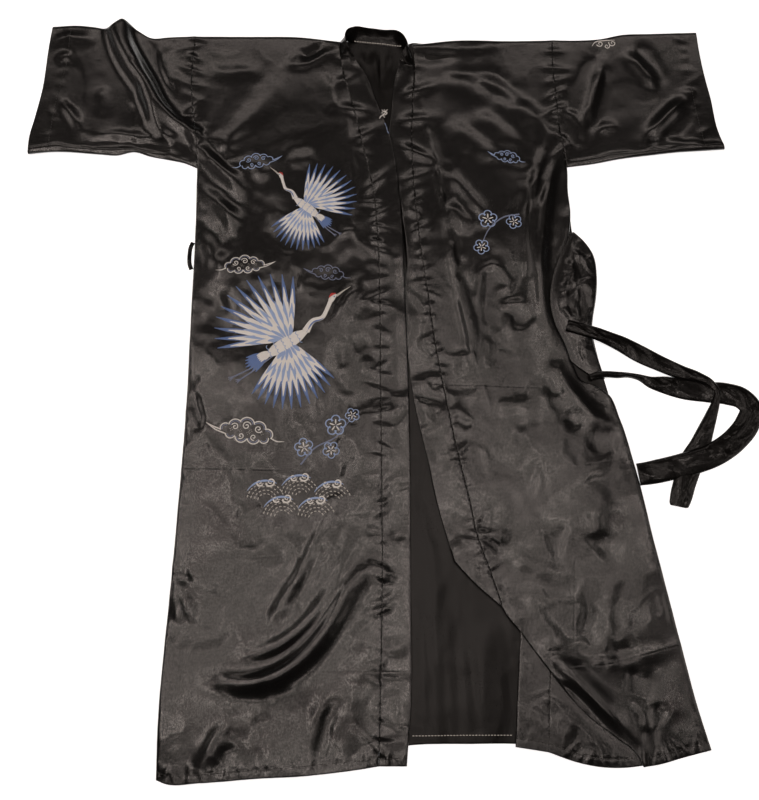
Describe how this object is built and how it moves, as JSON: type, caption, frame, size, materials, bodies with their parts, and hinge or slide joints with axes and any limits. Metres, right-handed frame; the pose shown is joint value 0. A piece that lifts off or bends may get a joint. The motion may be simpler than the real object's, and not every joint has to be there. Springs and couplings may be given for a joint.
{
  "type": "kimono robe",
  "caption": "Knee-length black satin kimono robe with wide sleeves, a facing band and a sash, embroidered in white and blue, laid flat with its fronts parted.",
  "frame": {"origin": "on the surface that the robe lies on, under the middle of its back panel", "axes": "+X across the robe towards the wearer's left, +Y up it towards the collar, +Z up from the surface"},
  "size_m": [1.1965, 1.2525, 0.0254],
  "materials": {
    "satin": "black polyester satin, right side, soft sheen",
    "satin_inside": "black polyester satin, wrong side, nearly matte",
    "belt_satin": "black polyester satin, doubled and creased",
    "seam_thread": "black sewing thread",
    "white_thread": "white and cream embroidery thread",
    "blue_thread": "light and mid blue embroidery thread",
    "grey_thread": "grey-blue embroidery thread",
    "red_thread": "red embroidery thread"
  },
  "bodies": {
    "root": {"back": "satin_inside", "right_front": "satin", "left_front": "satin", "left_front_corner": "satin", "right_front_band": "satin", "left_front_band": "satin", "left_front_band_end": "satin", "collar": "satin", "right_sleeve": "satin", "left_sleeve": "satin", "pocket_bag": "satin", "belt_carrier": "satin", "belt_free_end": "belt_satin", "belt_turned_end": "belt_satin"}
  },
  "joints": []
}
